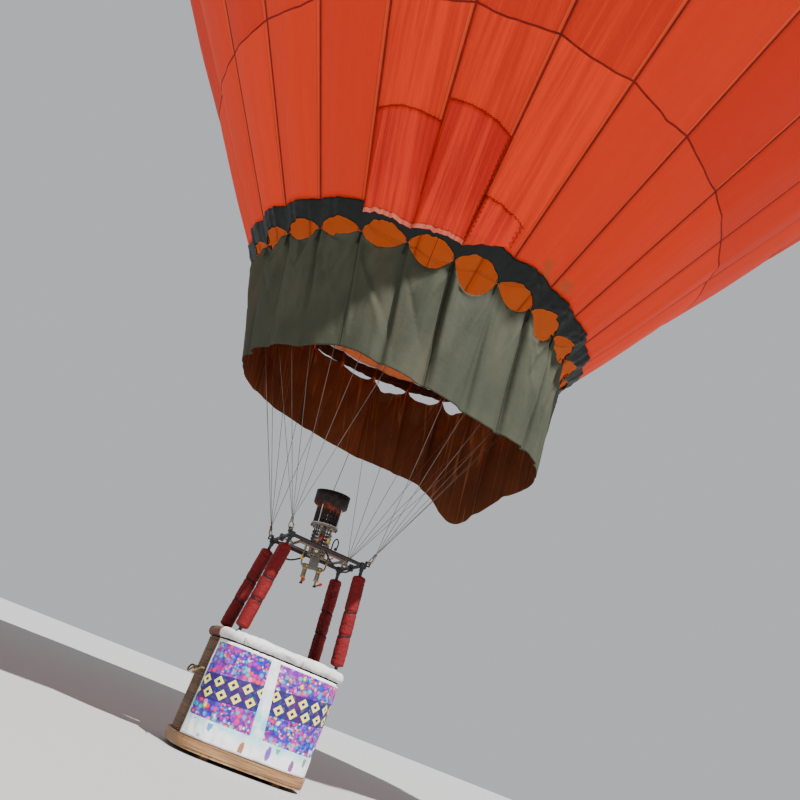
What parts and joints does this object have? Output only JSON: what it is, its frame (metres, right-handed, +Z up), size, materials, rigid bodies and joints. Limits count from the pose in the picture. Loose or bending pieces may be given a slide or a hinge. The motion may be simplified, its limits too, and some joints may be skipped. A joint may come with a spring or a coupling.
{
  "type": "hot air balloon",
  "caption": "Lobed hot air envelope with a cloth skirt, a tilting burner in a square frame, padded uprights and a small wicker basket with a printed banner.",
  "frame": {"origin": "middle of the lifted air, on the envelope's axis, 15.15 m above the underside of the basket's skids", "axes": "+Z up along the envelope's axis, +X to the right along the basket's long side as seen from the front, -Y out of the front"},
  "size_m": [16.555, 16.555, 23.0048],
  "materials": {
    "orange_cloth": "coated orange-red balloon cloth",
    "dark_cloth": "black-green heat-proof cloth",
    "load_tape": "dark red webbing",
    "skirt_cloth": "dark olive heat-proof cloth",
    "wire_steel": "stranded steel wire",
    "burner_steel": "heat-stained stainless steel",
    "black_steel": "black paint, worn",
    "red_sleeve": "padded red sleeve",
    "rim_leather": "padded off-white leather",
    "wicker": "woven willow",
    "base_wood": "varnished wood, scuffed",
    "banner_print": "printed banner cloth",
    "hose_rubber": "black rubber",
    "cylinder_metal": "satin metal, scuffed",
    "brass_fitting": "bare brass, dulled"
  },
  "bodies": {
    "balloon": {"mouth_band": "dark_cloth", "envelope_lower": "orange_cloth", "envelope_flank": "orange_cloth", "envelope_belt": "orange_cloth", "envelope_waist": "orange_cloth", "envelope_equator": "orange_cloth", "envelope_shoulder": "orange_cloth", "envelope_upper": "orange_cloth", "envelope_crown_low": "orange_cloth", "envelope_crown_middle": "orange_cloth", "envelope_crown_high": "orange_cloth", "crown_ring_tapes": "load_tape", "skirt": "skirt_cloth", "flying_wires_front_left": "wire_steel", "flying_wires_front_right": "wire_steel", "flying_wires_back_right": "wire_steel", "flying_wires_back_left": "wire_steel", "basket_wall": "wicker", "basket_floor": "base_wood", "basket_base_frame": "base_wood", "basket_rim": "rim_leather", "skid_left": "base_wood", "skid_right": "base_wood", "banner": "banner_print", "upright_pole_front_left": "black_steel", "upright_sleeve_front_left": "red_sleeve", "upright_pole_front_right": "black_steel", "upright_sleeve_front_right": "red_sleeve", "upright_pole_back_right": "black_steel", "upright_sleeve_back_right": "red_sleeve", "upright_pole_back_left": "black_steel", "upright_sleeve_back_left": "red_sleeve", "burner_frame": "black_steel", "fuel_valve_left": "brass_fitting", "fuel_valve_right": "brass_fitting", "fuel_hose_front": "hose_rubber", "fuel_hose_back": "hose_rubber", "fuel_cylinder_left": "cylinder_metal", "fuel_cylinder_right": "cylinder_metal"},
    "vent": {"parachute_vent": "orange_cloth"},
    "gimbal": {"gimbal_ring": "burner_steel"},
    "burner": {"burner_valve_block": "burner_steel", "burner_base_plate": "burner_steel", "burner_coil": "burner_steel", "burner_can": "black_steel", "blast_lever_left": "black_steel", "blast_lever_right": "black_steel", "burner_rod_1": "burner_steel", "burner_rod_2": "burner_steel", "burner_rod_3": "burner_steel", "burner_rod_4": "burner_steel"}
  },
  "joints": [
    {"name": "vent_drop", "type": "slide", "parent": "balloon", "child": "vent", "axis": [0, 0, 1], "range_m": [-1.2, 0], "stiffness_N_per_m": 150, "springref_m": 0.6},
    {"name": "gimbal_pitch", "type": "hinge", "parent": "balloon", "child": "gimbal", "pos_m": [0, 0, -13.15], "axis": [1, 0, 0], "range_deg": [-20, 20]},
    {"name": "burner_tilt", "type": "hinge", "parent": "gimbal", "child": "burner", "pos_m": [0, 0, -13.15], "axis": [0, 1, 0], "range_deg": [-14, 26]}
  ]
}
